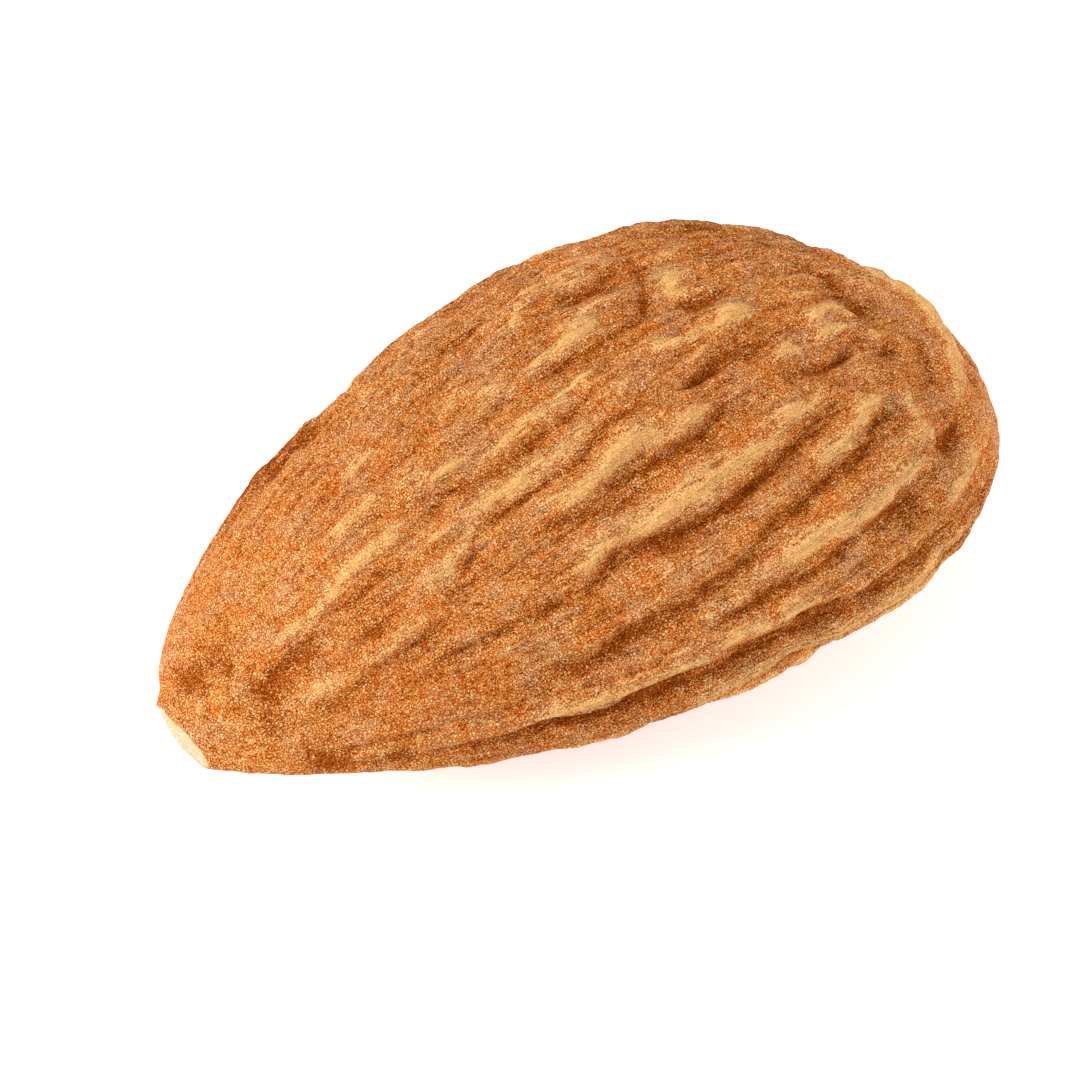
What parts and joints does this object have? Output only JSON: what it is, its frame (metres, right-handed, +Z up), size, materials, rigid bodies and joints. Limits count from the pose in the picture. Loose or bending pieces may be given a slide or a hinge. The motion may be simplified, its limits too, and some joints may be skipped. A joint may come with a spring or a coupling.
{
  "type": "almond kernel",
  "caption": "Shelled almond kernel in wrinkled brown skin: teardrop outline, keeled rim, pale chip at the tip, and a small flat spot on which it rests.",
  "frame": {"origin": "on the surface that the kernel rests on, under the middle of the kernel's box", "axes": "+X along the kernel towards its round end, with the pointed tip towards -X; +Y towards its fuller side; +Z up through its thickness"},
  "size_m": [0.0244, 0.0144, 0.0082],
  "materials": {
    "seed_coat": "matt dried seed coat, finely granular and ridged, paler where the ridges are rubbed, with cream flesh at the chipped tip"
  },
  "bodies": {
    "root": {"almond_kernel": "seed_coat"}
  },
  "joints": []
}
